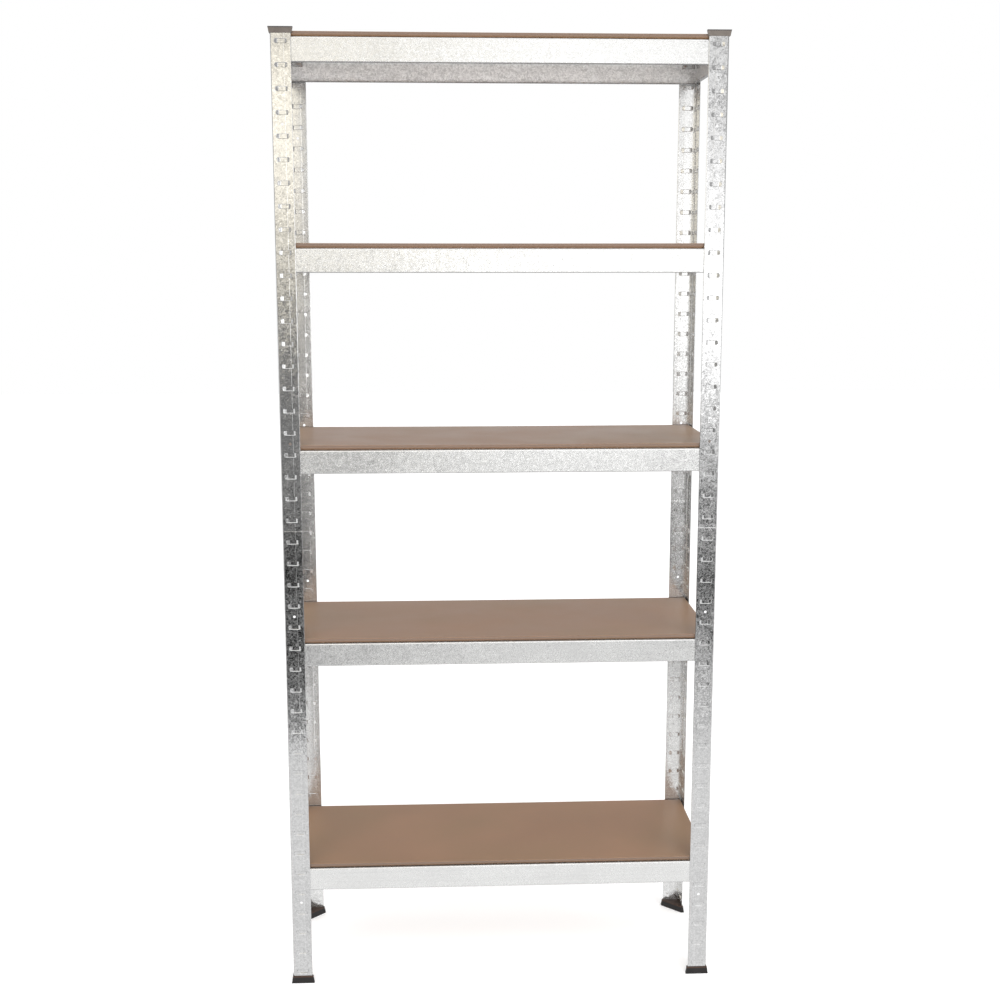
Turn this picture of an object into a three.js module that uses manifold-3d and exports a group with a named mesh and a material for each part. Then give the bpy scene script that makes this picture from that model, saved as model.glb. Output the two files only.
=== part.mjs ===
// Five-level boltless steel shelving unit, in millimetres, +Z up.
// Four angle-section posts, each of two lengths joined by a hidden inner angle, carry
// folded-channel beams, and a loose board lies on the beams at every level.
// The origin is on the floor at the centre of the footprint; -Y is the front.

import * as THREE from 'three';
import { mergeVertices } from 'three/addons/utils/BufferGeometryUtils.js';
import Module from 'manifold-3d';

const wasm = await Module();
wasm.setup();

// Clearance left between pieces that touch, and how far a cutting tool runs past a face.
const GAP = 0.3;
const OVERRUN = 5;

// Footprint across the outer faces of the posts.
const SPAN_X = 798;
const SPAN_Y = 300;

// Posts: equal-leg angle with one row of slots down each leg.
const LEG = 36;
const POST_T = 1.2;
const BEND_R = 2.2;
const INNER_BEND_R = 1;
const PITCH = 40;
const SLOTS_PER_SECTION = 22;
const SECTION = PITCH * SLOTS_PER_SECTION;
const SLOT_L = 22;
const SLOT_H = 8;
const SLOT_CENTRE = LEG / 2;
const HOLE_R = 2.5;
const HOLE_SIDES = 8;
const HOLE_FROM_END = 160;

// Feet: three-cornered plastic shoes, wider at the floor.
const FOOT_H = 13.3;
const FOOT_FLOOR = 2.2;
const FOOT_WALL_TOP = 1.2;
const FOOT_WALL_BOTTOM = 3.5;
const FOOT_TIP = 4;
const FOOT_CHAMFER = 3.2;
const POST_Z0 = FOOT_FLOOR + GAP;

// Caps: L-shaped plastic covers, wider at the top.
const CAP_H = 10.6;
const CAP_PLATE = 3.2;
const CAP_WALL_LOW = 1.2;
const CAP_WALL_TOP = 3.5;
const CAP_INNER = 3.3;
const POST_TOP = POST_Z0 + 2 * SECTION;
const CAP_TOP = POST_TOP + GAP + CAP_PLATE;

// Joiners: inner angles across the seam of each post.
const JOINER_LEG = 30;
const JOINER_T = 1.2;
const JOINER_LENGTH = 90;
const JOINER_WINDOW_L = 24;
const JOINER_WINDOW_H = 10;

// Beams: channels with a top ledge and a turned-down lip.
const BEAM_H = 42.6;
const BEAM_T = 1;
const BEAM_BEND_R = 1.6;
const LEDGE = 15;
const LIP = 5;
const BOTTOM_FLANGE = 9;
const BEAM_ABOVE_SLOT = 7.6;
const BEAM_WINDOW_L = 25;
const BEAM_WINDOW_H = 11;

// Boards, and the slots (counted from the floor) that carry them.
const BOARD_T = 9;
const BOARD_EDGE_CLEARANCE = 3.7;
const LEVEL_SLOTS = [5, 16, 25, 34, 43];

const galvanised = { color: 0xc3c6c8, roughness: 0.38, metalness: 0.9 };
const hardboard = { color: 0x9b7c67, roughness: 0.75, metalness: 0 };
const blackPlastic = { color: 0x2f2d2f, roughness: 0.55, metalness: 0 };

// Each corner, with the turn that brings the angle's legs inward.
const CORNERS = [
  { name: 'front_left', x: -1, y: -1, turn: 0 },
  { name: 'front_right', x: 1, y: -1, turn: Math.PI / 2 },
  { name: 'rear_right', x: 1, y: 1, turn: Math.PI },
  { name: 'rear_left', x: -1, y: 1, turn: -Math.PI / 2 },
];

const unit = new THREE.Group();

function toSolid(geometry) {
  const bare = geometry.clone();
  bare.deleteAttribute('normal');
  bare.deleteAttribute('uv');
  const merged = mergeVertices(bare, 1e-4);
  return new wasm.Manifold(new wasm.Mesh({
    numProp: 3,
    vertProperties: new Float32Array(merged.attributes.position.array),
    triVerts: new Uint32Array(merged.index.array),
  }));
}

function toGeometry(solid) {
  const { vertProperties, triVerts } = solid.getMesh();
  const geometry = new THREE.BufferGeometry();
  geometry.setAttribute('position', new THREE.BufferAttribute(vertProperties, 3));
  geometry.setIndex(new THREE.BufferAttribute(triVerts, 1));
  return geometry;
}

function cutAll(geometry, tools) {
  let solid = toSolid(geometry);
  for (const tool of tools) {
    solid = solid.subtract(toSolid(tool));
  }
  return toGeometry(solid);
}

function addPiece(name, geometry, look) {
  const mesh = new THREE.Mesh(geometry, new THREE.MeshStandardMaterial(look));
  mesh.name = name;
  unit.add(mesh);
  return mesh;
}

function addAtCorner(name, corner, geometry, z, look) {
  const mesh = addPiece(name, geometry, look);
  mesh.position.set(corner.x * SPAN_X / 2, corner.y * SPAN_Y / 2, z);
  mesh.rotation.z = corner.turn;
}

function box(x0, x1, y0, y1, z0, z1) {
  const geometry = new THREE.BoxGeometry(x1 - x0, y1 - y0, z1 - z0);
  return geometry.translate((x0 + x1) / 2, (y0 + y1) / 2, (z0 + z1) / 2);
}

function extrude(shape, depth) {
  return new THREE.ExtrudeGeometry(shape, { depth, bevelEnabled: false, curveSegments: 3 });
}

// Equal-leg angle with its outer corner at (offset, offset) and a rounded bend.
function angleShape(leg, thickness, offset) {
  const inner = INNER_BEND_R;
  const bend = BEND_R;
  const a = offset;
  const b = offset + thickness;
  const end = offset + leg;
  const shape = new THREE.Shape();
  shape.moveTo(a + bend, a);
  shape.lineTo(end, a);
  shape.lineTo(end, b);
  shape.lineTo(b + inner, b);
  shape.absarc(b + inner, b + inner, inner, -Math.PI / 2, Math.PI, true);
  shape.lineTo(b, end);
  shape.lineTo(a, end);
  shape.lineTo(a, a + bend);
  shape.absarc(a + bend, a + bend, bend, Math.PI, Math.PI * 1.5, false);
  return shape;
}

// One box through each leg of an angle, centred at height z.
function slotPair(length, height, z) {
  const low = SLOT_CENTRE - length / 2;
  const high = SLOT_CENTRE + length / 2;
  const z0 = z - height / 2;
  const z1 = z + height / 2;
  return [
    box(low, high, -OVERRUN, OVERRUN, z0, z1),
    box(-OVERRUN, OVERRUN, low, high, z0, z1),
  ];
}

function roundHolePair(z) {
  const along = new THREE.CylinderGeometry(HOLE_R, HOLE_R, 2 * OVERRUN, HOLE_SIDES);
  const across = along.clone().rotateZ(Math.PI / 2);
  return [along.translate(SLOT_CENTRE, 0, z), across.translate(0, SLOT_CENTRE, z)];
}

function postGeometry(z0, z1) {
  const tools = [];
  for (let i = 0; i < SLOTS_PER_SECTION; i += 1) {
    tools.push(...slotPair(SLOT_L, SLOT_H, PITCH * (i + 0.5)));
  }
  tools.push(...roundHolePair(HOLE_FROM_END), ...roundHolePair(SECTION - HOLE_FROM_END));
  const bar = extrude(angleShape(LEG, POST_T, 0), z1 - z0).translate(0, 0, z0);
  return cutAll(bar, tools);
}

function joinerGeometry() {
  const shape = angleShape(JOINER_LEG, JOINER_T, POST_T + GAP);
  const bar = extrude(shape, JOINER_LENGTH).translate(0, 0, -JOINER_LENGTH / 2);
  const tools = [-PITCH / 2, PITCH / 2].flatMap(
    (z) => slotPair(JOINER_WINDOW_L, JOINER_WINDOW_H, z),
  );
  return cutAll(bar, tools);
}

// Pocket for the end of a post, GAP larger than the angle all round.
function postPocket(z0, z1) {
  const shape = new THREE.Shape();
  const inner = POST_T + GAP;
  const end = LEG + GAP;
  shape.moveTo(-GAP, -GAP);
  shape.lineTo(end, -GAP);
  shape.lineTo(end, inner);
  shape.lineTo(inner, inner);
  shape.lineTo(inner, end);
  shape.lineTo(-GAP, end);
  return extrude(shape, z1 - z0).translate(0, 0, z0);
}

function polygon(points) {
  return new THREE.Shape(points.map(([x, y]) => new THREE.Vector2(x, y)));
}

// Moves the vertices above the middle height, in x and y alike, by the function given.
function reshapeTop(geometry, middle, move) {
  const position = geometry.attributes.position;
  for (let i = 0; i < position.count; i += 1) {
    if (position.getZ(i) > middle) {
      position.setXY(i, move(position.getX(i)), move(position.getY(i)));
    }
  }
  return geometry;
}

function footGeometry() {
  const low = -FOOT_WALL_BOTTOM;
  const high = LEG + FOOT_TIP;
  const shape = polygon([
    [low, low], [high, low], [high, FOOT_CHAMFER], [FOOT_CHAMFER, high], [low, high],
  ]);
  const topLow = -FOOT_WALL_TOP - GAP;
  const topHigh = LEG + GAP + FOOT_WALL_TOP;
  const scale = (topHigh - topLow) / (high - low);
  const block = reshapeTop(
    extrude(shape, FOOT_H), FOOT_H / 2, (v) => topLow + (v - low) * scale,
  );
  return cutAll(block, [postPocket(FOOT_FLOOR, FOOT_H + OVERRUN)]);
}

function capGeometry() {
  const low = -CAP_WALL_LOW - GAP;
  const high = LEG + GAP + CAP_WALL_LOW;
  const shape = polygon([
    [low, low], [high, low], [high, CAP_INNER], [CAP_INNER, CAP_INNER],
    [CAP_INNER, high], [low, high],
  ]);
  const flared = (v) => {
    if (v < 0) return -CAP_WALL_TOP;
    return v > LEG ? LEG + CAP_WALL_TOP : v;
  };
  const block = reshapeTop(extrude(shape, CAP_H), CAP_H / 2, flared);
  return cutAll(block, [postPocket(-OVERRUN, CAP_H - CAP_PLATE)]);
}

// Section of a beam: x runs inward from the outer face and y up to the ledge at 0.
function beamShape() {
  const r = BEAM_BEND_R;
  const shape = new THREE.Shape();
  shape.moveTo(0, -BEAM_H + r);
  shape.absarc(r, -BEAM_H + r, r, Math.PI, Math.PI * 1.5, false);
  shape.lineTo(BOTTOM_FLANGE, -BEAM_H);
  shape.lineTo(BOTTOM_FLANGE, -BEAM_H + BEAM_T);
  shape.lineTo(BEAM_T, -BEAM_H + BEAM_T);
  shape.lineTo(BEAM_T, -BEAM_T);
  shape.lineTo(LEDGE - BEAM_T, -BEAM_T);
  shape.lineTo(LEDGE - BEAM_T, -LIP);
  shape.lineTo(LEDGE, -LIP);
  shape.lineTo(LEDGE, 0);
  shape.lineTo(r, 0);
  shape.absarc(r, -r, r, Math.PI / 2, Math.PI, false);
  return shape;
}

// A beam along X, its outer face at y = 0 and its ledge at z = 0. The ledge and the foot
// flange stop short of each end by setback; the windows clear the post's slots.
function beamGeometry(length, setback, windowFromEnd) {
  const bar = extrude(beamShape(), length);
  bar.rotateX(Math.PI / 2).rotateZ(Math.PI / 2).translate(-length / 2, 0, 0);
  const half = length / 2;
  const inner = half - setback;
  const z1 = -BEAM_ABOVE_SLOT + BEAM_WINDOW_H / 2;
  const tools = [
    box(inner, half + OVERRUN, BEAM_T, LEDGE + OVERRUN, -BEAM_H - OVERRUN, OVERRUN),
    box(-half - OVERRUN, -inner, BEAM_T, LEDGE + OVERRUN, -BEAM_H - OVERRUN, OVERRUN),
  ];
  for (const side of [-1, 1]) {
    const centre = side * (half - windowFromEnd);
    const x0 = centre - BEAM_WINDOW_L / 2;
    tools.push(box(x0, x0 + BEAM_WINDOW_L, -OVERRUN, OVERRUN, z1 - BEAM_WINDOW_H, z1));
  }
  return cutAll(bar, tools);
}

function addPosts() {
  const seam = SECTION;
  const lower = postGeometry(0, seam - GAP / 2);
  const upper = postGeometry(GAP / 2, seam);
  const joiner = joinerGeometry();
  for (const corner of CORNERS) {
    addAtCorner(`post_${corner.name}_lower`, corner, lower, POST_Z0, galvanised);
    addAtCorner(`post_${corner.name}_upper`, corner, upper, POST_Z0 + seam, galvanised);
    addAtCorner(`joiner_${corner.name}`, corner, joiner, POST_Z0 + seam, galvanised);
  }
}

function addFeetAndCaps() {
  const foot = footGeometry();
  const cap = capGeometry();
  for (const corner of CORNERS) {
    addAtCorner(`foot_${corner.name}`, corner, foot, 0, blackPlastic);
    addAtCorner(`cap_${corner.name}`, corner, cap, CAP_TOP - CAP_H, blackPlastic);
  }
}

function addBeamsAndBoards() {
  const recess = POST_T + GAP;
  const longLength = SPAN_X - 2 * recess;
  const sideLength = SPAN_Y - 2 * (recess + BEAM_T + GAP);
  const long = beamGeometry(longLength, BEAM_T + 2 * GAP, SLOT_CENTRE - recess);
  const side = beamGeometry(
    sideLength, LEDGE - BEAM_T, SLOT_CENTRE - recess - BEAM_T - GAP,
  );
  const board = new THREE.BoxGeometry(
    SPAN_X - 2 * BOARD_EDGE_CLEARANCE, SPAN_Y - 2 * BOARD_EDGE_CLEARANCE, BOARD_T,
  );
  const faces = [
    { name: 'beam_front', geometry: long, x: 0, y: recess - SPAN_Y / 2, turn: 0 },
    { name: 'beam_rear', geometry: long, x: 0, y: SPAN_Y / 2 - recess, turn: Math.PI },
    { name: 'beam_left', geometry: side, x: recess - SPAN_X / 2, y: 0, turn: -Math.PI / 2 },
    { name: 'beam_right', geometry: side, x: SPAN_X / 2 - recess, y: 0, turn: Math.PI / 2 },
  ];
  LEVEL_SLOTS.forEach((slot, index) => {
    const top = POST_Z0 + PITCH * (slot + 0.5) + BEAM_ABOVE_SLOT;
    for (const face of faces) {
      const mesh = addPiece(`${face.name}_level_${index + 1}`, face.geometry, galvanised);
      mesh.position.set(face.x, face.y, top);
      mesh.rotation.z = face.turn;
    }
    const panel = addPiece(`board_level_${index + 1}`, board, hardboard);
    panel.position.z = top + GAP + BOARD_T / 2;
  });
}

addPosts();
addFeetAndCaps();
addBeamsAndBoards();

export default unit;
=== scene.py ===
"""Looks for a five-level boltless shelving unit: galvanised posts and beams, loose fibreboard
shelves, and black plastic feet and caps. Metres, +Z up, the front towards -Y."""

import math

import bpy
from mathutils import Matrix, Vector


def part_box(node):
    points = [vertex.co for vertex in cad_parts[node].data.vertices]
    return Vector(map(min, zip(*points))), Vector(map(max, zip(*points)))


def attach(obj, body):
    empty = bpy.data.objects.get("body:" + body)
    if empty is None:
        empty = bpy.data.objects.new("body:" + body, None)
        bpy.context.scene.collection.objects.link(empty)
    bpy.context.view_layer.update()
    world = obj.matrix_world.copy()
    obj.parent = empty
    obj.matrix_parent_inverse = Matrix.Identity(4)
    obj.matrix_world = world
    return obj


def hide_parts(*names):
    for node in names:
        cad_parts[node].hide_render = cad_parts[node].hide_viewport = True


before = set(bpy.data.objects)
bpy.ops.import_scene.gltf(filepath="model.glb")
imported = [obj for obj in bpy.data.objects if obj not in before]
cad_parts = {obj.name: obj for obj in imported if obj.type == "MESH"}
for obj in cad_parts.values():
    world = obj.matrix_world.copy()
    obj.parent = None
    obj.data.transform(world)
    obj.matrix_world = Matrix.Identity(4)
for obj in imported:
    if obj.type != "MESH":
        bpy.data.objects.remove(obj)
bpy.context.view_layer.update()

MM = 0.001
TINY = 1e-9

# Each corner's side in x and in y, and the turn in degrees that brings a post's legs to it.
CORNERS = {
    "front_left": (-1, -1, 0),
    "front_right": (1, -1, 90),
    "rear_right": (1, 1, 180),
    "rear_left": (-1, 1, -90),
}
LEVELS = range(1, 6)

# Post sheet: equal legs with a rounded bend, and a rolled line at one distance from the corner.
POST_T = 1.2 * MM
POST_BEND = 2.2 * MM
ROLL_MARK = 23.7 * MM

# Slots, in one row down each leg: a drawn rim round two slits, and the strip between the slits
# pressed inward as a bridge. The slits narrow to nothing over their taper at each end.
PITCH = 40 * MM
SLOT_HALF_L = 10.5 * MM
SLOT_HALF_H = 3.6 * MM
SLOT_CORNER = 2.1 * MM
SLOT_RIM = 0.7 * MM
SLIT = 0.12 * MM
SLIT_TAPER = 3 * MM
BRIDGE_DEPTH = 2.0 * MM
BRIDGE_RAMP = 4.6 * MM

# Round holes, one near each end of a post length, each in a short cell of its own. Roundness
# is a hole's corner radius as a share of its half width.
HOLE_R = 2.5 * MM
HOLE_FROM_END = 160 * MM
HOLE_CELL = 10 * MM
HOLE_ROUNDNESS = 0.999

# Beam sheet: its bends, lip, bottom flange, and the windows in its face behind the post slots.
# Ledge and lip stop short of a long beam's ends by the setback, and of a side beam's by more.
BEAM_T = 1 * MM
BEAM_BEND = 1.6 * MM
BEAM_TOP_BEND = 2.4 * MM
LIP = 5 * MM
BOTTOM_FLANGE = 9 * MM
WINDOW_L = 25 * MM
WINDOW_H = 11 * MM
WINDOW_BELOW_TOP = 2.9 * MM
LONG_BEAM_SETBACK = 1.6 * MM

# Boards. The sag varies from front to rear by a share of itself, in a wave of so many radians
# from the middle to an edge. Each level takes its texture from another place.
BOARD_ROUND = 0.5 * MM
BOARD_CHAMFER = 2.2 * MM
BOARD_SAG = 0.9 * MM
SAG_UNEVEN = 0.25
SAG_WAVE = 2.2
TEXTURE_STEP_X = 1.7
TEXTURE_STEP_Y = 0.9

# Easing of the edges of the feet, caps and joiners, in metres and degrees.
PLASTIC_EASE = 0.35 * MM
JOINER_EASE = 0.15 * MM
EASE_ANGLE = 35
WELD = 0.01 * MM

# How finely the meshes are divided. A guard is a narrow flat strip beside a bend or an edge,
# which keeps the bend's shading off the flat sheet. Edges past the sharp angle stay crisp.
CELL_ACROSS = 12
CELL_UP = 6
SLOT_STEPS = 18
EDGE_STEPS = 5
POST_BEND_STEPS = 6
LIP_BEND_STEPS = 4
TOP_BEND_STEPS = 6
BOTTOM_BEND_STEPS = 5
BEAM_SPANS = 16
BOARD_ACROSS = 36
BOARD_DEEP = 14
GUARD = 0.5 * MM
SHEET_SHARP = 35
BOARD_SHARP = 50


# ---------------------------------------------------------------- sheet metal in mesh code

def smooth(t):
    """Smoothstep from 0 to 1."""
    t = min(max(t, 0.0), 1.0)
    return t * t * (3 - 2 * t)


def snapped(length):
    """A length as a whole number of 0.1 micrometre steps, by which points are told apart."""
    return round(length * 1e7)


class Sheet:
    """A folded sheet built from flat cells. fold(s, z, depth) places a point of the flat
    pattern in space; depth runs from the outer face into the thickness. The two long
    edges, start and end, are rounded over."""

    def __init__(self, fold, thickness, start, end):
        self.fold = fold
        self.thickness = thickness
        self.edges = {snapped(start): -1, snapped(end): 1}
        self.points = {}
        self.faces = []

    def key(self, s, z, depth=0.0):
        """The name of a point of the pattern, which is kept if it is new."""
        k = (snapped(s), snapped(z), snapped(depth))
        self.points.setdefault(k, (s, z, depth))
        return k

    def face(self, *corners):
        self.faces.append([self.key(*c) for c in corners])

    def open_edges(self, faces):
        """Edges that belong to one face only."""
        found = {}
        for face in faces:
            for a, b in zip(face, face[1:] + face[:1]):
                if (b, a) in found:
                    del found[(b, a)]
                else:
                    found[(a, b)] = True
        return found

    def mesh(self, name):
        """The folded sheet, with its outer face, its inner face and the rims between them."""
        index = {k: i for i, k in enumerate(self.points)}
        flat = list(self.points.values())
        n = len(flat)
        verts = [self.fold(s, z, d) for s, z, d in flat]
        verts += [self.fold(s, z, d + self.thickness) for s, z, d in flat]
        outer = [[index[k] for k in face] for face in self.faces]
        faces = outer + [[i + n for i in reversed(face)] for face in outer]
        radius = self.thickness / 2
        rims = {}

        def rim(i):
            """Points round the sheet's edge, from its outer face to its inner one."""
            if i not in rims:
                s, z, depth = flat[i]
                way = self.edges[snapped(s)]
                rims[i] = [i]
                for k in range(1, EDGE_STEPS):
                    turn = math.pi * k / EDGE_STEPS
                    rims[i].append(len(verts))
                    verts.append(self.fold(s + way * radius * math.sin(turn), z,
                                           depth + radius - radius * math.cos(turn)))
                rims[i].append(i + n)
            return rims[i]

        for a, b in self.open_edges(outer):
            if flat[a][0] == flat[b][0] and snapped(flat[a][0]) in self.edges:
                line_a = rim(a)
                line_b = rim(b)
                for k in range(EDGE_STEPS):
                    faces.append([line_b[k], line_a[k], line_a[k + 1], line_b[k + 1]])
            else:
                faces.append([b, a, a + n, b + n])
        return finish_mesh(name, verts, faces, range(len(outer), 2 * len(outer)))


def finish_mesh(name, verts, faces, inner=(), sharp=SHEET_SHARP):
    """A mesh with smooth shading between its sharp edges; the inner faces take the second
    material."""
    data = bpy.data.meshes.new(name)
    data.from_pydata([tuple(v) for v in verts], [], faces)
    data.validate()
    data.polygons.foreach_set("use_smooth", [True] * len(data.polygons))
    data.set_sharp_from_angle(angle=math.radians(sharp))
    for i in inner:
        data.polygons[i].material_index = 1
    return data


def rect_loop(s0, s1, z0, z1, across, up):
    """Points round a rectangle, anticlockwise from its low corner."""
    loop = [(s0 + (s1 - s0) * i / across, z0) for i in range(across)]
    loop += [(s1, z0 + (z1 - z0) * i / up) for i in range(up)]
    loop += [(s1 - (s1 - s0) * i / across, z1) for i in range(across)]
    loop += [(s0, z1 - (z1 - z0) * i / up) for i in range(up)]
    return loop


def rounded_loop(cs, cz, half_s, half_z, radius, grow=0.0):
    """A rectangle's loop about (cs, cz), pulled onto its rounded form grown by grow."""
    inner_s = half_s - radius
    inner_z = half_z - radius
    radius += grow
    out = []
    for s, z in rect_loop(cs - half_s, cs + half_s, cz - half_z, cz + half_z,
                          CELL_ACROSS, CELL_UP):
        x = s - cs
        y = z - cz
        near_x = max(-inner_s, min(inner_s, x))
        near_y = max(-inner_z, min(inner_z, y))
        distance = math.hypot(x - near_x, y - near_y)
        if distance > TINY:
            x = near_x + (x - near_x) * radius / distance
            y = near_y + (y - near_y) * radius / distance
        out.append((cs + x, cz + y))
    return out


def perforated_cell(sheet, s0, s1, z0, z1, hole):
    """The faces between a rectangle and a hole in it."""
    outer = rect_loop(s0, s1, z0, z1, CELL_ACROSS, CELL_UP)
    for i in range(len(outer)):
        j = (i + 1) % len(outer)
        sheet.face(outer[i], outer[j], hole[j], hole[i])


def slot_outline_half(u):
    """Half the slot's height at a distance u from its middle."""
    over = abs(u) - (SLOT_HALF_L - SLOT_CORNER)
    if over <= 0:
        return SLOT_HALF_H
    return SLOT_HALF_H - SLOT_CORNER + math.sqrt(max(SLOT_CORNER ** 2 - over ** 2, 0))


def slot_cell(sheet, s0, s1, z0, z1, cs, cz):
    """A cell with a slot at (cs, cz): its drawn rim, and the bridge between its two slits."""
    hole = rounded_loop(cs, cz, SLOT_HALF_L, SLOT_HALF_H, SLOT_CORNER)
    rim = rounded_loop(cs, cz, SLOT_HALF_L, SLOT_HALF_H, SLOT_CORNER, SLOT_RIM)
    perforated_cell(sheet, s0, s1, z0, z1, rim)
    for i in range(len(rim)):
        j = (i + 1) % len(rim)
        sheet.face(rim[i], rim[j], (*hole[j], SLOT_RIM), (*hole[i], SLOT_RIM))
    rows = []
    for i in range(SLOT_STEPS + 1):
        u = -SLOT_HALF_L + 2 * SLOT_HALF_L * i / SLOT_STEPS
        inset = SLOT_HALF_L - abs(u)
        half = slot_outline_half(u) - SLIT * smooth(inset / SLIT_TAPER)
        depth = SLOT_RIM + (BRIDGE_DEPTH - SLOT_RIM) * smooth(inset / BRIDGE_RAMP)
        rows.append([(cs + u, cz + half * v, depth) for v in (-1, 0, 1)])
    for a, b in zip(rows, rows[1:]):
        for k in range(2):
            sheet.face(a[k], b[k], b[k + 1], a[k + 1])


def hole_cell(sheet, s0, s1, z0, z1, cs, cz):
    """A cell with a round hole at (cs, cz)."""
    hole = rounded_loop(cs, cz, HOLE_R, HOLE_R, HOLE_R * HOLE_ROUNDNESS)
    perforated_cell(sheet, s0, s1, z0, z1, hole)


def post_fold(leg):
    """Flat pattern of an angle: leg along x, the bend, then the leg along y."""
    flat = leg - POST_BEND
    arc = POST_BEND * math.pi / 2

    def fold(s, z, depth):
        if s <= flat:
            return leg - s, depth, z
        if s >= flat + arc:
            return depth, POST_BEND + (s - flat - arc), z
        a = (s - flat) / POST_BEND
        r = POST_BEND - depth
        return POST_BEND - r * math.sin(a), POST_BEND - r * math.cos(a), z

    return fold, flat, arc


def post_cells(low, high, base):
    """The cells of a post length from the bottom up, as low end, high end, centre and kind.
    Slots stand at half pitches above base, and a hole takes a cell between two of them."""
    count = round((high - low) / PITCH)
    holes = (base + HOLE_FROM_END, base + count * PITCH - HOLE_FROM_END)
    cells = []
    for i in range(count):
        z0 = base + i * PITCH
        z1 = base + (i + 1) * PITCH
        centre = (z0 + z1) / 2
        for h in holes:
            if abs(z0 - h) < HOLE_R:
                cells.append((h - HOLE_CELL / 2, h + HOLE_CELL / 2, h, hole_cell))
                z0 = h + HOLE_CELL / 2
            if abs(z1 - h) < HOLE_R:
                z1 = h - HOLE_CELL / 2
        cells.append((max(z0, low), min(z1, high), centre, slot_cell))
    return cells


def post_mesh(name, leg, low, high, base):
    """One length of post from low to high. Across the flat pattern, one leg runs from first to
    flat, then the bend to start, then the other leg to last."""
    fold, flat, arc = post_fold(leg)
    first = POST_T / 2
    start = flat + arc
    last = 2 * flat + arc - first
    sheet = Sheet(fold, POST_T, first, last)
    bends = [flat + arc * k / POST_BEND_STEPS for k in range(POST_BEND_STEPS + 1)]
    strips = [(first, first + GUARD), (flat - GUARD, flat), *zip(bends, bends[1:]),
              (start, start + GUARD), (last - GUARD, last)]
    middle = leg / 2
    for z0, z1, centre, cell in post_cells(low, high, base):
        cell(sheet, first + GUARD, flat - GUARD, z0, z1, leg - middle, centre)
        cell(sheet, start + GUARD, last - GUARD, z0, z1, start + middle - POST_BEND, centre)
        for i in range(CELL_UP):
            a = z0 + (z1 - z0) * i / CELL_UP
            b = z0 + (z1 - z0) * (i + 1) / CELL_UP
            for s, t in strips:
                sheet.face((s, a), (t, a), (t, b), (s, b))
    data = sheet.mesh(name)
    # Across the sheet, the UV is the distance from the corner, counted below 0 along x.
    uv = data.uv_layers.new(name="sheet")
    for loop in data.loops:
        x, y, z = data.vertices[loop.vertex_index].co
        uv.data[loop.index].uv = (y - x, z)
    return data


def arc_points(cx, cy, r, a0, a1, steps):
    """Points on an arc about (cx, cy), from a0 to a1 degrees."""
    angles = [math.radians(a0 + (a1 - a0) * i / steps) for i in range(steps + 1)]
    return [(cx + r * math.cos(a), cy + r * math.sin(a)) for a in angles]


def beam_profile(height, ledge):
    """Outer line of a beam's section: across from the face, up to the ledge at 0."""
    r = BEAM_BEND
    top = BEAM_TOP_BEND
    line = [(ledge, -LIP)]
    line += arc_points(ledge - r, -r, r, 0, 90, LIP_BEND_STEPS)
    line += arc_points(top, -top, top, 90, 180, TOP_BEND_STEPS)
    line += [(0, -WINDOW_BELOW_TOP), (0, -WINDOW_BELOW_TOP - WINDOW_H)]
    line += [(0, -height + r + GUARD)]
    line += arc_points(r, -height + r, r, 180, 270, BOTTOM_BEND_STEPS)
    line += [(BOTTOM_FLANGE, -height)]
    return line


def offset_line(line, distance):
    """The line moved to its left by distance, with mitred corners of limited length."""
    mitre_limit = 0.3
    out = []
    for i, p in enumerate(line):
        before = Vector(line[max(i - 1, 0)])
        after = Vector(line[min(i + 1, len(line) - 1)])
        p = Vector(p)
        ways = [(b - a).normalized() for a, b in ((before, p), (p, after)) if (b - a).length]
        normals = [Vector((-w.y, w.x)) for w in ways]
        mean = sum(normals, Vector((0, 0))).normalized()
        out.append(p + mean * distance / max(mean.dot(normals[0]), mitre_limit))
    return out


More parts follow.
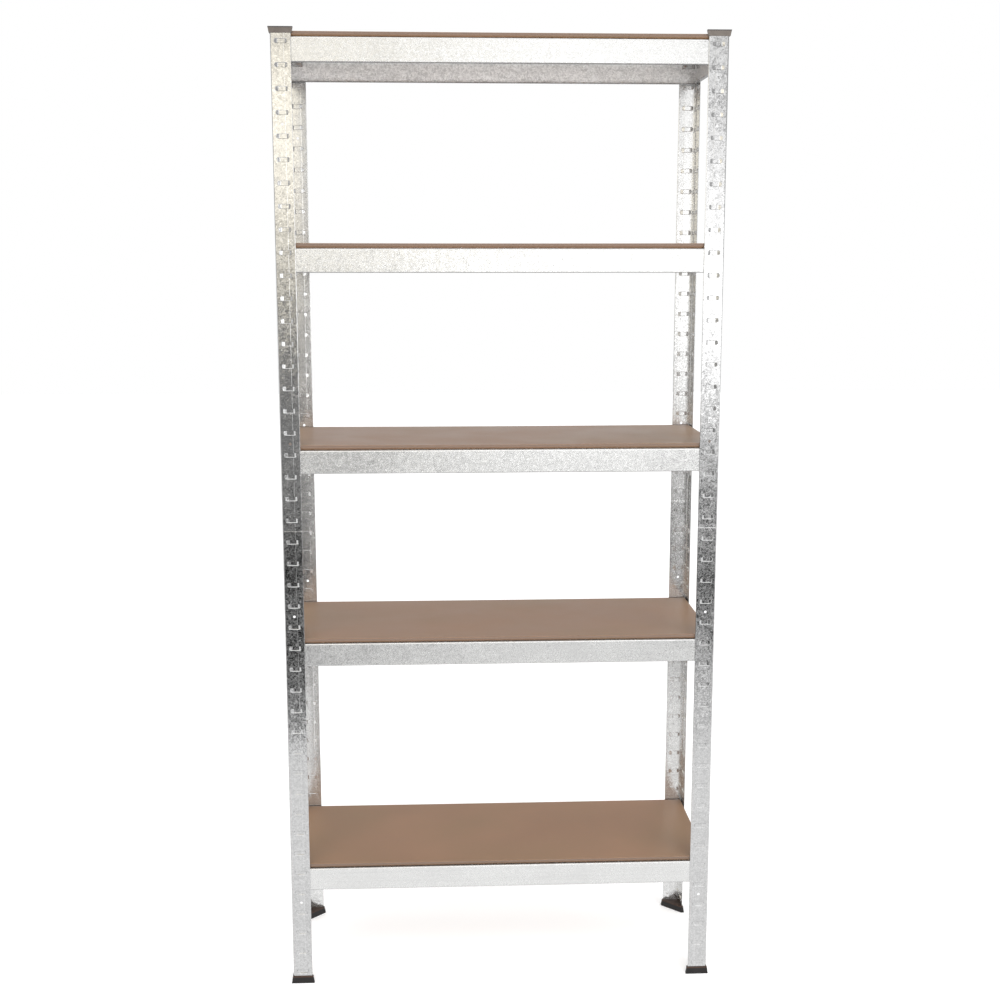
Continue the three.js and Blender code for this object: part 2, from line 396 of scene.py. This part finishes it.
def beam_mesh(name, length, height, ledge, setback, window_centre):
    """A beam along x with its face at y = 0 and its ledge at z = 0. The ledge stops short of
    both ends by the setback, and each end has a window."""
    line = beam_profile(height, ledge)
    inner = offset_line(line, BEAM_T)
    half = length / 2
    w0 = window_centre - WINDOW_L / 2
    w1 = window_centre + WINDOW_L / 2
    stops = {-half, half}
    for near in (w0, w1, setback):
        stops |= {near - half, half - near}
    middle = half - max(w1, setback)
    stops |= {-middle + 2 * middle * i / BEAM_SPANS for i in range(1, BEAM_SPANS)}
    stops = sorted(stops)
    ledge_from = 0.7 * BEAM_BEND  # nearer the face than this, the sheet runs on to the ends
    verts = []
    index = {}

    def vert(i, k, side):
        """The vertex at stop i and profile point k, on the outer or inner side."""
        key = (i, k, side)
        if key not in index:
            index[key] = len(verts)
            y, z = (line, inner)[side][k]
            verts.append((stops[i], y, z))
        return index[key]

    kept = set()
    for i in range(len(stops) - 1):
        near = half - abs((stops[i] + stops[i + 1]) / 2)
        for k in range(len(line) - 1):
            y = (line[k][0] + line[k + 1][0]) / 2
            z = (line[k][1] + line[k + 1][1]) / 2
            window = (w0 < near < w1 and y < TINY
                      and -WINDOW_BELOW_TOP - WINDOW_H < z < -WINDOW_BELOW_TOP)
            if not window and not (near < setback and y > ledge_from):
                kept.add((i, k))
    faces = []
    inner_faces = []
    for i, k in sorted(kept):
        quad = [(i, k), (i, k + 1), (i + 1, k + 1), (i + 1, k)]
        faces.append([vert(*at, 0) for at in quad])
        inner_faces.append(len(faces))
        faces.append([vert(*at, 1) for at in quad][::-1])
        # Each neighbouring quad, and the two ends of the edge towards it.
        rims = (((i - 1, k), (i, k + 1), (i, k)), ((i + 1, k), (i + 1, k), (i + 1, k + 1)),
                ((i, k - 1), (i, k), (i + 1, k)), ((i, k + 1), (i + 1, k + 1), (i, k + 1)))
        for neighbour, a, b in rims:
            if neighbour not in kept:
                faces.append([vert(*a, 0), vert(*b, 0), vert(*b, 1), vert(*a, 1)])
    return finish_mesh(name, verts, faces, inner_faces)


def board_mesh(name, size, level):
    """A loose panel with eased edges, a chamfer under its edge, and a slight sag. Each level's
    sag and texture differ a little."""
    hx, hy, top = size / 2
    low = BOARD_SAG - top
    ease = BOARD_ROUND
    chamfer = BOARD_CHAMFER
    nx = BOARD_ACROSS
    ny = BOARD_DEEP
    knee = 0.3 * ease  # the middle point of the rounding, from both faces

    rings = []
    for inset, z in ((ease + GUARD, top), (ease, top), (knee, top - knee), (0, top - ease),
                     (0, low + chamfer), (chamfer, low), (chamfer + GUARD, low)):
        loop = rect_loop(-hx + inset, hx - inset, -hy + inset, hy - inset, nx, ny)
        rings.append([(x, y, z) for x, y in loop])
    verts = [p for ring in rings for p in ring]
    n = len(rings[0])
    faces = []
    for b in range(n, len(verts), n):
        a = b - n
        for i in range(n):
            j = (i + 1) % n
            faces.append([b + i, b + j, a + j, a + i])

    def cap(start, inset, z, flip):
        """A grid that closes the ring whose vertices begin at start."""
        grid = {}
        for i in range(nx + 1):
            for j in range(ny + 1):
                if j == 0 and i < nx:
                    grid[i, j] = start + i
                elif i == nx and j < ny:
                    grid[i, j] = start + nx + j
                elif j == ny and i > 0:
                    grid[i, j] = start + nx + ny + (nx - i)
                elif i == 0 and j > 0:
                    grid[i, j] = start + 2 * nx + ny + (ny - j)
                else:
                    grid[i, j] = len(verts)
                    verts.append((-hx + inset + 2 * (hx - inset) * i / nx,
                                  -hy + inset + 2 * (hy - inset) * j / ny, z))
        for i in range(nx):
            for j in range(ny):
                quad = [grid[i, j], grid[i + 1, j], grid[i + 1, j + 1], grid[i, j + 1]]
                faces.append(quad[::-1] if flip else quad)

    cap(0, ease + GUARD, top, False)
    cap(len(rings) * n - n, chamfer + GUARD, low, True)

    def sagged(p):
        """The upper face sinks most at mid span, unevenly from front to rear."""
        x, y, z = p
        if z <= 0:
            return p
        uneven = 1 - SAG_UNEVEN + SAG_UNEVEN * math.cos(SAG_WAVE * y / hy + level)
        return x, y, z - BOARD_SAG * (1 - (x / hx) ** 2) * uneven

    data = finish_mesh(name, [sagged(p) for p in verts], faces, sharp=BOARD_SHARP)
    uv = data.uv_layers.new(name="metres")
    for loop in data.loops:
        x, y, z = data.vertices[loop.vertex_index].co
        uv.data[loop.index].uv = (x + TEXTURE_STEP_X * level, y + z + TEXTURE_STEP_Y * level)
    return data


def add_piece(name, data, materials, body, node, matrix):
    """Puts a mesh in the scene, riding on its body in place of a CAD node."""
    for material in materials:
        data.materials.append(material)
    piece = bpy.data.objects.new(name, data)
    bpy.context.scene.collection.objects.link(piece)
    piece.matrix_world = matrix
    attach(piece, body)
    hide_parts(node)


# ---------------------------------------------------------------- materials

class Nodes:
    """A short way to write a node tree."""

    def __init__(self, tree):
        self.tree = tree
        self.tree.nodes.clear()

    def add(self, kind, inputs=None, **settings):
        node = self.tree.nodes.new(kind)
        for key, value in settings.items():
            setattr(node, key, value)
        for key, value in (inputs or {}).items():
            self.put(node, key, value)
        return node

    def put(self, node, key, value):
        """Links a socket to the input, or sets the input's own value."""
        if isinstance(value, bpy.types.NodeSocket):
            self.tree.links.new(value, node.inputs[key])
        else:
            node.inputs[key].default_value = value

    def math(self, operation, a, b=0.0, clamp=False):
        node = self.add("ShaderNodeMath", {0: a, 1: b}, operation=operation, use_clamp=clamp)
        return node.outputs[0]

    def vector(self, operation, a, b=(0, 0, 0)):
        node = self.add("ShaderNodeVectorMath", {0: a, 1: b}, operation=operation)
        return node.outputs[0]

    def scaled(self, vector, amount):
        node = self.add("ShaderNodeVectorMath", {0: vector}, operation="SCALE")
        self.put(node, "Scale", amount)
        return node.outputs[0]

    def remap(self, value, low, high, to_low, to_high):
        """Takes low to to_low and high to to_high, and stays between those two."""
        node = self.add("ShaderNodeMapRange", {"Value": value, "From Min": low, "From Max": high,
                                               "To Min": to_low, "To Max": to_high})
        return node.outputs[0]

    def mix(self, factor, a, b, blend="MIX"):
        """Mixes two colours; 0, 6 and 7 are the node's factor and its colour inputs."""
        node = self.add("ShaderNodeMix", data_type="RGBA", blend_type=blend)
        for key, value in ((0, factor), (6, a), (7, b)):
            self.put(node, key, value)
        return node.outputs[2]

    def noise(self, where, scale, detail, roughness):
        """Cloudy noise about one half."""
        node = self.add("ShaderNodeTexNoise", {"Vector": where, "Scale": scale,
                                               "Detail": detail, "Roughness": roughness})
        return node.outputs["Fac"]

    def cells(self, where, scale):
        """A random colour in each cell."""
        node = self.add("ShaderNodeTexVoronoi", {"Vector": where, "Scale": scale})
        return node.outputs["Color"]

    def grey(self, value):
        node = self.add("ShaderNodeCombineColor", {"Red": value, "Green": value, "Blue": value})
        return node.outputs[0]

    def parts(self, vector):
        """A vector's x, y and z."""
        return self.add("ShaderNodeSeparateXYZ", {"Vector": vector}).outputs

    def channels(self, colour):
        """A colour's red, green and blue."""
        return self.add("ShaderNodeSeparateColor", {"Color": colour}).outputs

    def share_up(self):
        """Height as a share of the object's own height."""
        return self.parts(self.add("ShaderNodeTexCoord").outputs["Generated"])[2]

    def surface(self, kind, inputs):
        """Ends the material with its shader."""
        shader = self.add(kind, inputs)
        self.add("ShaderNodeOutputMaterial", {"Surface": shader.outputs[0]})


def new_material(name):
    material = bpy.data.materials.new(name)
    material.use_nodes = True
    return material, Nodes(material.node_tree)


def crystals(n, place, size):
    """Small and large zinc crystals with uneven borders, each with a random colour."""
    border = n.add("ShaderNodeTexNoise", {"Vector": place, "Scale": 300.0, "Detail": 2.0})
    warped = n.vector("ADD", place, n.scaled(border.outputs["Color"], 4 * MM))
    return n.cells(warped, 1 / size), n.cells(warped, 0.33 / size)


def leaned_normal(n, small, large, tilt):
    """The surface normal, leaned a little another way in each crystal."""
    normal = n.add("ShaderNodeNewGeometry").outputs["Normal"]
    leans = [n.scaled(n.vector("SUBTRACT", colour, (0.5, 0.5, 0.5)), amount)
             for colour, amount in ((small, tilt), (large, tilt * 0.5))]
    return n.vector("NORMALIZE", n.vector("ADD", normal, n.vector("ADD", *leans)))


def near_line(n, value, line, full, none):
    """1 within full of the line, falling to 0 at none."""
    away = n.math("ABSOLUTE", n.math("SUBTRACT", value, line))
    return n.remap(away, full, none, 1, 0)


def galvanised(name, colour, metal, rough, spangle, tilt, grain, streak, seam=None):
    """Zinc-coated sheet: crystals about a spangle across, each a little tilted and different in
    shade by the grain, with rolling streaks along the length. A post's sheet also has its
    rolled lines, bumped and lifted by a painted highlight, and the joint at the seam's height;
    a beam's sheet, without a seam, has painted shade along its low edge."""
    material, n = new_material(name)
    place = n.add("ShaderNodeNewGeometry").outputs["Position"]
    small, large = crystals(n, place, spangle)
    small_value = n.channels(small)
    mottle = n.math("ADD", n.math("MULTIPLY", small_value[0], 0.7),
                    n.math("MULTIPLY", n.channels(large)[0], 0.3))
    cloud = n.noise(place, scale=9.0, detail=4.0, roughness=0.6)
    shade = n.math("ADD", n.remap(mottle, 0.1, 0.9, 1 - grain, 1 + grain * 0.4),
                   n.remap(cloud, 0.3, 0.7, -0.04, 0.03))
    stretch = (3, 3, 420) if seam is None else (260, 260, 3)
    streaks = n.noise(n.vector("MULTIPLY", place, stretch), scale=1.0, detail=3.0, roughness=0.6)
    shade = n.math("ADD", shade, n.remap(streaks, 0.3, 0.7, -streak, streak))
    fine = n.noise(place, scale=420.0, detail=2.0, roughness=0.55)
    height = n.math("ADD", fine, n.math("MULTIPLY", streaks, 6 * streak))
    if seam is None:
        # Painted shade: the beam's sheet darkens along its low bend.
        shade = n.math("MULTIPLY", shade, n.remap(n.share_up(), 0.015, 0.035, 0.45, 1.0))
    else:
        across = n.parts(n.add("ShaderNodeUVMap", uv_map="sheet").outputs[0])[0]
        mark = near_line(n, n.math("ABSOLUTE", across), ROLL_MARK, 0.1 * MM, 0.5 * MM)
        # Painted highlight: the rolled line's shade is lifted; its bump is real.
        shade = n.math("ADD", shade, n.math("MULTIPLY", mark, 0.12))
        height = n.math("ADD", height, n.math("MULTIPLY", mark, 1.5))
        joint = near_line(n, n.parts(place)[2], seam, 0.2 * MM, 0.8 * MM)
        height = n.math("SUBTRACT", height, n.math("MULTIPLY", joint, 1.6))
    bump = n.add("ShaderNodeBump", {
        "Height": height, "Normal": leaned_normal(n, small, large, tilt),
        "Distance": 0.06 * MM, "Strength": 0.5})
    roughness = n.math("ADD", n.remap(small_value[1], 0, 1, rough - 0.04, rough + 0.06),
                       n.remap(cloud, 0.3, 0.7, -0.03, 0.04))
    n.surface("ShaderNodeBsdfPrincipled", {
        "Base Color": n.mix(1.0, (*colour, 1), n.grey(shade), "MULTIPLY"),
        "Metallic": metal, "Roughness": roughness, "Normal": bump.outputs[0]})
    return material


# Fibreboard colours: the pressed face, its stains and dark fibres, and the cut edge, which has
# painted shade low down.
FACE_DARK = (0.226, 0.122, 0.064, 1)
FACE_PALE = (0.262, 0.145, 0.079, 1)
FACE_STAIN = (0.214, 0.128, 0.064, 1)
FACE_FIBRE = (0.165, 0.086, 0.042, 1)
EDGE_DARK = (0.084, 0.056, 0.042, 1)
EDGE_PALE = (0.118, 0.081, 0.061, 1)
EDGE_PAINTED_SHADE = (0.014, 0.009, 0.007, 1)


def fibreboard():
    """Smooth brown faces with soft clouds and stains, and rougher, darker cut edges, which have
    painted shade low down.
    """
    material, n = new_material("fibreboard")
    where = n.add("ShaderNodeUVMap", uv_map="metres").outputs[0]
    flattened = n.vector("MULTIPLY", where, (1, 2.2, 1))
    elsewhere = n.vector("ADD", where, (7.3, 2.1, 0))
    cloud = n.noise(where, scale=6.0, detail=4.0, roughness=0.55)
    fibre = n.noise(flattened, scale=900.0, detail=3.0, roughness=0.65)
    stain = n.noise(elsewhere, scale=3.5, detail=3.0, roughness=0.5)
    face = n.mix(n.remap(cloud, 0.3, 0.7, 0, 1), FACE_DARK, FACE_PALE)
    face = n.mix(n.remap(stain, 0.45, 0.65, 0, 0.8), face, FACE_STAIN)
    face = n.mix(n.remap(fibre, 0.35, 0.7, 0, 0.35), face, FACE_FIBRE)
    side = n.mix(n.remap(fibre, 0.3, 0.7, 0, 1), EDGE_DARK, EDGE_PALE)
    # Painted shade: the low part of the cut edge is darkened, above the beam.
    side = n.mix(n.remap(n.share_up(), 0.2, 0.45, 1, 0), side, EDGE_PAINTED_SHADE)
    up = n.parts(n.add("ShaderNodeNewGeometry").outputs["Normal"])[2]
    edge = n.math("SUBTRACT", 1.0, n.math("ABSOLUTE", up), clamp=True)
    bump = n.add("ShaderNodeBump", {"Height": fibre, "Distance": 0.12 * MM, "Strength": 0.35})
    roughness = n.math("ADD", n.remap(cloud, 0.3, 0.7, 0.30, 0.40),
                       n.math("MULTIPLY", edge, 0.3))
    n.surface("ShaderNodeBsdfPrincipled", {
        "Base Color": n.mix(edge, face, side), "Roughness": roughness,
        "Normal": bump.outputs[0]})
    return material


def black_plastic(name, clean, dusty, rim, gloss):
    """Moulded plastic, finely grained and a little dusty, with an upper rim of painted light."""
    material, n = new_material(name)
    place = n.add("ShaderNodeNewGeometry").outputs["Position"]
    grain = n.noise(place, scale=1400.0, detail=2.0, roughness=0.5)
    dust = n.noise(place, scale=45.0, detail=4.0, roughness=0.6)
    colour = n.mix(n.remap(dust, 0.4, 0.75, 0, 1), (*clean, 1), (*dusty, 1))
    # The upper rim is painted: a reddish painted highlight on the feet, a painted shade line on
    # the caps.
    colour = n.mix(n.remap(n.share_up(), 0.80, 0.87, 0, 1), colour, (*rim, 1))
    bump = n.add("ShaderNodeBump", {"Height": grain, "Distance": 0.12 * MM, "Strength": 0.3})
    n.surface("ShaderNodeBsdfPrincipled", {
        "Base Color": colour, "Roughness": n.remap(dust, 0.3, 0.7, 0.34, 0.48),
        "Specular IOR Level": gloss, "Normal": bump.outputs[0]})
    return material


lower_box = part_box("post_front_left_lower")
upper_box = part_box("post_front_left_upper")
seam = (lower_box[1].z + upper_box[0].z) / 2

post_zinc = galvanised("galvanised_post", colour=(0.66, 0.66, 0.66), metal=1.0, rough=0.12,
                       spangle=2.4 * MM, tilt=0.027, grain=0.13, streak=0.03, seam=seam)
# The inside copy of the post zinc is paler and less metallic: painted light on the inner faces
# and joiners.
post_back_painted_light = galvanised("galvanised_post_inside", colour=(0.74, 0.74, 0.735), metal=0.91,
                       rough=0.17, spangle=2.6 * MM, tilt=0.02, grain=0.12, streak=0.035,
                       seam=seam)
beam_zinc = galvanised("galvanised_beam", colour=(0.66, 0.66, 0.655), metal=0.87, rough=0.22,
                       spangle=2.0 * MM, tilt=0.042, grain=0.035, streak=0.025)
# The beam's inside copy is paler, less metallic and rougher: painted light on its inner faces.
beam_back_painted_light = galvanised("galvanised_beam_inside", colour=(0.80, 0.80, 0.795), metal=0.5,
                       rough=0.36, spangle=2.2 * MM, tilt=0.08, grain=0.30, streak=0.04)
board_face = fibreboard()
# One black plastic in two copies: the feet's painted darker as shade, the caps' paler as painted
# light.
foot_plastic_painted_shade = black_plastic("black_plastic_foot_painted_shade", clean=(0.008, 0.007, 0.007),
                             dusty=(0.014, 0.012, 0.012), rim=(0.040, 0.020, 0.013), gloss=0.3)
cap_plastic_painted_light = black_plastic("black_plastic_cap_painted_light", clean=(0.070, 0.058, 0.049),
                            dusty=(0.095, 0.081, 0.069), rim=(0.030, 0.026, 0.026), gloss=0.5)


# ---------------------------------------------------------------- posts, joiners, feet, caps

def placed(x, y, z, turn):
    """A place in the scene, turned by so many degrees about the vertical."""
    return Matrix.Translation((x, y, z)) @ Matrix.Rotation(math.radians(turn), 4, "Z")


def build_posts():
    """Two lengths at each corner, with their legs pointing inward."""
    low, high = lower_box
    leg = high.x - low.x
    meshes = {
        "lower": post_mesh("post_lower", leg, low.z, high.z, low.z),
        "upper": post_mesh("post_upper", leg, upper_box[0].z, upper_box[1].z, seam),
    }
    for corner, (side_x, side_y, turn) in CORNERS.items():
        low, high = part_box(f"post_{corner}_lower")
        place = placed(low.x if side_x < 0 else high.x, low.y if side_y < 0 else high.y, 0, turn)
        for part, data in meshes.items():
            node = f"post_{corner}_{part}"
            add_piece(f"{node}_sheet", data.copy(), (post_zinc, post_back_painted_light), "frame",
                      node, place)


def carry_over(node, material, width, segments):
    """Keeps a CAD node, with eased edges and a better material."""
    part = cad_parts[node]
    part.data.materials.clear()
    part.data.materials.append(material)
    weld = part.modifiers.new("weld", "WELD")
    weld.merge_threshold = WELD
    bevel = part.modifiers.new("ease", "BEVEL")
    bevel.width = width
    bevel.segments = segments
    bevel.limit_method = "ANGLE"
    bevel.angle_limit = math.radians(EASE_ANGLE)
    for polygon in part.data.polygons:
        polygon.use_smooth = False


build_posts()
for corner in CORNERS:
    carry_over(f"joiner_{corner}", post_back_painted_light, JOINER_EASE, 2)
    carry_over(f"foot_{corner}", foot_plastic_painted_shade, PLASTIC_EASE, 3)
    carry_over(f"cap_{corner}", cap_plastic_painted_light, PLASTIC_EASE, 3)


# ---------------------------------------------------------------- beams and boards

def build_beam(side, level):
    """A folded beam, with its windows behind the middle of the post legs."""
    node = f"beam_{side}_level_{level}"
    low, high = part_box(node)
    size = high - low
    mid = (low + high) / 2
    x, y, turn = {"front": (mid.x, low.y, 0), "rear": (mid.x, high.y, 180),
                  "left": (low.x, mid.y, -90), "right": (high.x, mid.y, 90)}[side]
    post_low, post_high = lower_box
    slot_centre = (post_high.x - post_low.x) / 2
    if side in ("front", "rear"):
        length = size.x
        ledge = size.y
        setback = LONG_BEAM_SETBACK
        from_corner = low.x - post_low.x
    else:
        length = size.y
        ledge = size.x
        setback = ledge - BEAM_T
        from_corner = low.y - post_low.y
    data = beam_mesh(f"{node}_mesh", length, size.z, ledge, setback, slot_centre - from_corner)
    add_piece(f"{node}_sheet", data, (beam_zinc, beam_back_painted_light), "frame", node,
              placed(x, y, high.z, turn))


def build_board(level):
    """A loose board, on a body of its own."""
    node = f"board_level_{level}"
    low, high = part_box(node)
    data = board_mesh(f"{node}_mesh", high - low, level)
    add_piece(f"{node}_panel", data, (board_face,), f"board_{level}", node,
              Matrix.Translation((low + high) / 2))


for level in LEVELS:
    for side in ("front", "rear", "left", "right"):
        build_beam(side, level)
    build_board(level)


# ---------------------------------------------------------------- floor, light, camera

def floor_plane(name, material, half_width, front, rear, z):
    data = bpy.data.meshes.new(name)
    corners = [(-half_width, front, z), (half_width, front, z),
               (half_width, rear, z), (-half_width, rear, z)]
    data.from_pydata(corners, [], [(0, 1, 2, 3)])
    data.materials.append(material)
    plane = bpy.data.objects.new(name, data)
    bpy.context.scene.collection.objects.link(plane)
    return plane


def build_floor():
    """A pale floor for the eye, and a bright smaller one that only the metal reflects."""
    material, n = new_material("floor")
    n.surface("ShaderNodeBsdfPrincipled", {
        "Base Color": (0.80, 0.80, 0.80, 1), "Roughness": 0.9, "Specular IOR Level": 0.0,
        "Emission Color": (1, 1, 1, 1), "Emission Strength": 0.3})
    plane = floor_plane("floor", material, half_width=12, front=-12, rear=12, z=-0.4 * MM)
    plane.visible_glossy = False
    material, n = new_material("floor_in_metal")
    n.surface("ShaderNodeEmission", {"Color": (1, 1, 1, 1)})
    plane = floor_plane("floor_in_metal", material, half_width=2.2, front=-1.62, rear=3.0,
                        z=-0.2 * MM)
    plane.visible_camera = False
    plane.visible_diffuse = False
    plane.visible_shadow = False


# What the metal sees, as the slope of the ray against the brightness there. Ahead of the unit
# is a dim room between a bright floor and a bright upper half. From the left of the room to its
# right it is FAR_LEFT, LEFT, RIGHT, REAR_RIGHT and FAR_RIGHT: seen from the front, the left
# posts mirror the first, the beams mostly the next two, and the rear and front right posts the
# last two. SIDES and BEHIND are the rest of the room, and OVERHEAD its ceiling. Rays steeper
# than SLOPE_END see a ramp's end value.
FAR_LEFT = ((-0.40, 0.96), (-0.34, 0.34), (-0.29, 0.04), (-0.24, 0.00), (-0.20, 0.04),
            (-0.16, 0.29), (-0.12, 0.27), (-0.09, 0.23), (-0.06, 0.25), (-0.03, 0.45),
            (0.00, 1.00), (0.03, 1.10), (0.07, 2.30), (0.13, 1.32), (0.20, 0.80), (0.27, 0.70),
            (0.40, 1.60))
LEFT = ((-0.40, 0.95), (-0.34, 0.72), (-0.28, 0.50), (-0.20, 0.18), (-0.14, 0.10),
        (-0.09, 0.46), (-0.04, 1.00), (0.00, 1.35), (0.04, 1.00), (0.09, 0.42), (0.16, 0.20),
        (0.26, 0.30), (0.40, 1.40))
RIGHT = ((-0.40, 1.00), (-0.34, 0.88), (-0.28, 0.74), (-0.20, 0.84), (-0.14, 1.15),
         (-0.09, 1.60), (-0.04, 2.20), (0.00, 2.60), (0.05, 2.60), (0.13, 1.65), (0.20, 1.50),
         (0.40, 1.40))
REAR_RIGHT = ((-0.40, 0.60), (-0.33, 0.60), (-0.30, 0.80), (-0.27, 0.90), (-0.25, 0.05),
              (-0.185, 0.00), (-0.165, 0.20), (-0.155, 1.25), (-0.125, 1.15), (-0.10, 0.30),
              (-0.085, 0.40), (-0.07, 1.45), (0.00, 1.60), (0.06, 1.70), (0.10, 1.65),
              (0.20, 1.50), (0.40, 1.40))
FAR_RIGHT = ((-0.40, 1.50), (-0.34, 1.40), (-0.29, 0.50), (-0.24, 0.00), (-0.20, 0.02),
             (-0.16, 0.30), (-0.12, 0.55), (-0.09, 1.50), (-0.06, 2.60), (-0.03, 3.00),
             (0.00, 3.00), (0.03, 1.20), (0.07, 0.60), (0.13, 0.50), (0.20, 0.45), (0.40, 2.00))
SIDES = ((-0.40, 1.10), (-0.06, 1.10), (0.02, 0.45), (0.25, 0.60), (0.40, 1.20))
BEHIND = ((-0.40, 0.60), (-0.05, 0.60), (0.05, 1.15), (0.12, 1.20), (0.20, 0.60), (0.40, 0.42))
OVERHEAD = 1.3
SLOPE_END = 0.4

# The room's left half is warmer above this slope.
WARM = (1.0, 0.945, 0.82)
WARM_ABOVE = -0.05

# Soft light from ahead adds this to the white that lights the unit all round.
FRONT_GLOW = 1.5


def slope_ramp(n, slope, stops, tint=(1, 1, 1)):
    """A ramp over the slope, whose upper part takes the tint."""
    node = n.add("ShaderNodeValToRGB", {"Fac": n.remap(slope, -SLOPE_END, SLOPE_END, 0, 1)})
    elements = node.color_ramp.elements
    while len(elements) < len(stops):
        elements.new(0.5)
    for element, (at, value) in zip(elements, stops):
        element.position = (at + SLOPE_END) / (2 * SLOPE_END)
        colour = tint if at > WARM_ABOVE else (1, 1, 1)
        element.color = (*(value * channel for channel in colour), 1)
    return node.outputs[0]


def room_seen(n, slope, ahead, right):
    """The room that the metal reflects, for a ray's slope and its lean ahead and to the right.
    Each part of the room gives way to the next between two leans."""
    front = n.mix(n.remap(right, -0.04, 0.06, 0, 1), slope_ramp(n, slope, LEFT, WARM),
                  slope_ramp(n, slope, RIGHT))
    front = n.mix(n.remap(right, -0.06, -0.03, 1, 0), front,
                  slope_ramp(n, slope, FAR_LEFT, WARM))
    for stops, start, end in ((REAR_RIGHT, 0.125, 0.14), (FAR_RIGHT, 0.184, 0.192)):
        front = n.mix(n.remap(right, start, end, 0, 1), front, slope_ramp(n, slope, stops))
    around = n.mix(n.remap(ahead, -0.3, 0.1, 0, 1), slope_ramp(n, slope, BEHIND),
                   slope_ramp(n, slope, SIDES))
    room = n.mix(n.remap(ahead, 0.78, 0.90, 0, 1), around, front)
    return n.mix(n.remap(slope, 0.5, 1.0, 0, 1), room, (OVERHEAD, OVERHEAD, OVERHEAD, 1))


def studio_world():
    """A white studio for the eye and for soft light, and the room above for reflections."""
    world = bpy.data.worlds.new("studio")
    world.use_nodes = True
    world.cycles.sampling_method = "NONE"
    n = Nodes(world.node_tree)
    x, y, z = n.parts(n.add("ShaderNodeTexCoord").outputs["Generated"])
    squares = n.math("ADD", n.math("MULTIPLY", x, x), n.math("MULTIPLY", y, y))
    level_part = n.math("MAXIMUM", n.math("POWER", squares, 0.5), 0.02)
    slope = n.math("DIVIDE", z, level_part)
    ahead = n.math("DIVIDE", n.math("MULTIPLY", y, -1.0), level_part)
    right = n.math("DIVIDE", x, level_part)
    low = n.remap(n.math("ABSOLUTE", slope), 0.3, 0.6, 1, 0)
    glow = n.math("MULTIPLY", n.remap(ahead, 0.2, 0.8, 0, FRONT_GLOW), low)
    soft = n.grey(n.math("ADD", glow, 1.0))
    rays = n.add("ShaderNodeLightPath")
    colour = n.mix(rays.outputs["Is Camera Ray"], soft, (1, 1, 1, 1))
    colour = n.mix(rays.outputs["Is Glossy Ray"], colour, room_seen(n, slope, ahead, right))
    background = n.add("ShaderNodeBackground", {"Color": colour})
    n.add("ShaderNodeOutputWorld", {"Surface": background.outputs[0]})
    bpy.context.scene.world = world


def aimed(where, target):
    """The rotation of a light or camera that looks from one point to another."""
    return (Vector(target) - Vector(where)).to_track_quat("-Z", "Y").to_euler()


def area_light(name, where, target, size, power):
    """A rectangular lamp that no surface mirrors."""
    light = bpy.data.lights.new(name, "AREA")
    light.shape = "RECTANGLE"
    light.size, light.size_y = size
    light.energy = power
    lamp = bpy.data.objects.new(name, light)
    bpy.context.scene.collection.objects.link(lamp)
    lamp.location = where
    lamp.rotation_euler = aimed(where, target)
    lamp.visible_glossy = False


def add_camera(where, target, lens):
    """The scene's camera, with its lens in millimetres on a 36 mm sensor."""
    data = bpy.data.cameras.new("camera")
    data.sensor_width = 36
    data.lens = lens
    camera = bpy.data.objects.new("camera", data)
    bpy.context.scene.collection.objects.link(camera)
    camera.location = where
    camera.rotation_euler = aimed(where, target)
    bpy.context.scene.camera = camera


build_floor()
studio_world()
area_light("key", where=(-1.6, -3.2, 3.4), target=(0, 0, 0.9), size=(2.0, 1.4), power=50)
area_light("fill", where=(2.4, -2.6, 2.6), target=(0, 0, 0.9), size=(2.0, 1.4), power=40)
area_light("low", where=(0.7, -3.0, 1.0), target=(0, 0, 1.2), size=(2.2, 1.1), power=60)
add_camera(where=(-0.13, -2.734, 1.374), target=(0.005, 0, 0.912), lens=51.7)
bpy.context.scene.view_settings.view_transform = "Standard"
